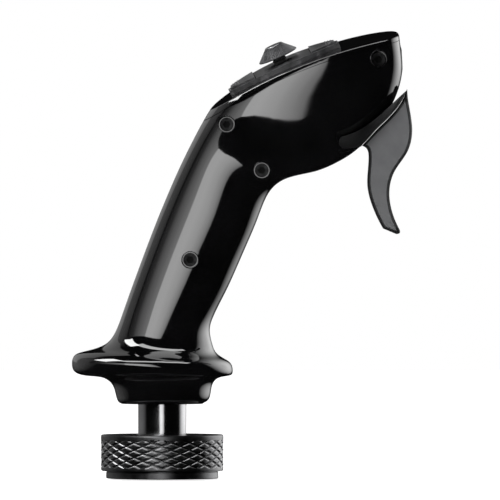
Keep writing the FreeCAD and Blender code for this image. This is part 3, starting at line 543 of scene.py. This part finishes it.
# studio: a pale floor, a bent wall of soft light in front, three soft boxes, and washes from behind
studio = {
    "target": Vector((0.035, 0, 0.091)), "lens": 600, "sensor": 36, "frameWidth": 0.2,
    "cameraPlace": (0.0351, 0.0913), "floorDrop": 0.6, "floorRadius": 3,
    # how far out the floor's light starts to grow, where it is full, and its least and most
    "floorGlow": (0.05, 0.6, 0.82, 1.0),
    # the wall from left to right: azimuth and elevation of its foot, of its head, and its light
    "wallAway": 0.9,
    "wall": [
        ((-98, 9), (-92, 32), 0.0), ((-76, 9), (-74, 31), 0.22), ((-64, 10), (-62, 30), 0.75),
        ((-52, 10), (-52, 29), 1.15), ((-38, 8), (-41, 28), 1.7), ((-36, 7), (-39.5, 28), 3.8),
        ((-20, -1), (-26, 28), 3.9), ((-5, -11), (-14, 28), 3.3), ((4, -15), (-6, 27), 2.3),
        ((8.5, -17), (-3, 26), 1.5), ((10, -17), (-2, 26), 0.0),
    ],
    "boxes": [
        # name, azimuth to the right, elevation, distance, width, height, radiance
        ("leftBox", -88, 50, 1.0, 0.4, 0.5, 10.0),
        ("topBox", 10, 76, 1.0, 1.2, 0.35, 5.0),
        ("backLeftBox", -150, 25, 1.4, 0.9, 1.2, 0.35),
    ],
    # each wash: the way it comes from, where it starts and is full, and its light
    "washes": [((0.765, 0.597, 0.242), 0.76, 0.975, 2.6), ((-0.80, 0.56, 0.20), 0.70, 0.95, 0.30)],
    "fill": 0.004,
}


def wayTo(azimuth, elevation):
    # azimuth runs to the right from the front, elevation up from level, both in degrees
    turn, rise = math.radians(azimuth), math.radians(elevation)
    return Vector((math.sin(turn) * math.cos(rise), -math.cos(turn) * math.cos(rise), math.sin(rise)))


def softBox(name, azimuth, elevation, distance, width, height, radiance):
    way = wayTo(azimuth, elevation)
    data = bpy.data.lights.new(name, "AREA")
    data.shape = "RECTANGLE"
    data.size = width
    data.size_y = height
    data.energy = radiance * math.pi * width * height
    lamp = bpy.data.objects.new(name, data)
    bpy.context.collection.objects.link(lamp)
    lamp.location = studio["target"] + way * distance
    lamp.rotation_euler = (-way).to_track_quat("-Z", "Y").to_euler()
    lamp.visible_camera = False


for box in studio["boxes"]:
    softBox(*box)


def lightWall():
    # a lit sheet bent round the front, its light set from station to station
    form = bmesh.new()
    stations = studio["wall"]
    uvs = form.loops.layers.uv.new("across")
    rows, place = [], {}
    for end in (0, 1):
        ways = [wayTo(*station[end]) * studio["wallAway"] for station in stations]
        row = [form.verts.new(studio["target"] + way) for way in ways]
        place.update((vert, (i / (len(stations) - 1), end)) for i, vert in enumerate(row))
        rows.append([form.edges.new(pair) for pair in zip(row, row[1:])])
    bmesh.ops.bridge_loops(form, edges=rows[0] + rows[1])
    for face in form.faces:
        for loop in face.loops:
            loop[uvs].uv = place[loop.vert]
    mesh = bpy.data.meshes.new("lightWall")
    form.to_mesh(mesh)
    form.free()
    wall = bpy.data.objects.new("lightWall", mesh)
    bpy.context.collection.objects.link(wall)
    material = bpy.data.materials.new("lightWall")
    material.use_nodes = True
    tree = material.node_tree
    tree.nodes.clear()
    across = tree.nodes.new("ShaderNodeUVMap")
    across.uv_map = "across"
    split = tree.nodes.new("ShaderNodeSeparateXYZ")
    tree.links.new(across.outputs["UV"], split.inputs[0])
    ramp = tree.nodes.new("ShaderNodeValToRGB")
    brightest = max(station[2] for station in stations)
    for i, station in enumerate(stations):
        at = i / (len(stations) - 1)
        element = ramp.color_ramp.elements[i] if i < 2 else ramp.color_ramp.elements.new(at)
        element.position = at
        element.color = (station[2] / brightest,) * 3 + (1,)
    tree.links.new(split.outputs["X"], ramp.inputs["Fac"])
    glow = tree.nodes.new("ShaderNodeEmission")
    glow.inputs["Strength"].default_value = brightest
    tree.links.new(ramp.outputs["Color"], glow.inputs["Color"])
    output = tree.nodes.new("ShaderNodeOutputMaterial")
    tree.links.new(glow.outputs[0], output.inputs["Surface"])
    mesh.materials.append(material)
    wall.visible_camera = False
    wall.visible_shadow = False


lightWall()

floorForm = bmesh.new()
bmesh.ops.create_circle(floorForm, cap_ends=True, segments=96, radius=studio["floorRadius"])
bmesh.ops.translate(floorForm, vec=(0, 0, -studio["floorDrop"] * mm), verts=floorForm.verts)
floorMesh = bpy.data.meshes.new("floor")
floorForm.to_mesh(floorMesh)
floorForm.free()
floor = bpy.data.objects.new("floor", floorMesh)
bpy.context.collection.objects.link(floor)
floor.visible_glossy = False
floorLook = bpy.data.materials.new("floorPale")
floorLook.use_nodes = True
tree = floorLook.node_tree
shader = tree.nodes["Principled BSDF"]
shader.inputs["Base Color"].default_value = (0.8, 0.8, 0.8, 1)
shader.inputs["Roughness"].default_value = 0.7
shader.inputs["Emission Color"].default_value = (1, 1, 1, 1)
apart = tree.nodes.new("ShaderNodeVectorMath")
apart.operation = "LENGTH"
tree.links.new(tree.nodes.new("ShaderNodeTexCoord").outputs["Object"], apart.inputs[0])
glow = rangeOf(tree, apart.outputs["Value"], *studio["floorGlow"])
tree.links.new(glow, shader.inputs["Emission Strength"])
floorMesh.materials.append(floorLook)

world = bpy.data.worlds.new("studio")
bpy.context.scene.world = world
world.use_nodes = True
tree = world.node_tree
background = tree.nodes["Background"]
direction = tree.nodes.new("ShaderNodeTexCoord").outputs["Generated"]
wash = None
for way, start, full, light in studio["washes"]:
    lean = tree.nodes.new("ShaderNodeVectorMath")
    lean.operation = "DOT_PRODUCT"
    lean.inputs[1].default_value = way
    tree.links.new(direction, lean.inputs[0])
    lobe = rangeOf(tree, lean.outputs["Value"], start, full, studio["fill"], light)
    if wash:
        more = tree.nodes.new("ShaderNodeMath")
        more.operation = "MAXIMUM"
        tree.links.new(wash, more.inputs[0])
        tree.links.new(lobe, more.inputs[1])
        lobe = more.outputs[0]
    wash = lobe
seen = tree.nodes.new("ShaderNodeLightPath").outputs["Is Camera Ray"]
strength = tree.nodes.new("ShaderNodeMix")
tree.links.new(seen, strength.inputs[0])
tree.links.new(wash, strength.inputs[2])
strength.inputs[3].default_value = 1
background.inputs["Color"].default_value = (1, 1, 1, 1)
tree.links.new(strength.outputs[0], background.inputs["Strength"])
bpy.context.scene.view_settings.view_transform = "Standard"

lens = bpy.data.cameras.new("camera")
lens.lens = studio["lens"]
lens.sensor_width = studio["sensor"]
lens.clip_end = 20
camera = bpy.data.objects.new("camera", lens)
bpy.context.collection.objects.link(camera)
away = studio["frameWidth"] * studio["lens"] / studio["sensor"]
camera.location = (studio["cameraPlace"][0], -away, studio["cameraPlace"][1])
camera.rotation_euler = (math.pi / 2, 0, 0)
bpy.context.scene.camera = camera
print("studio ready")
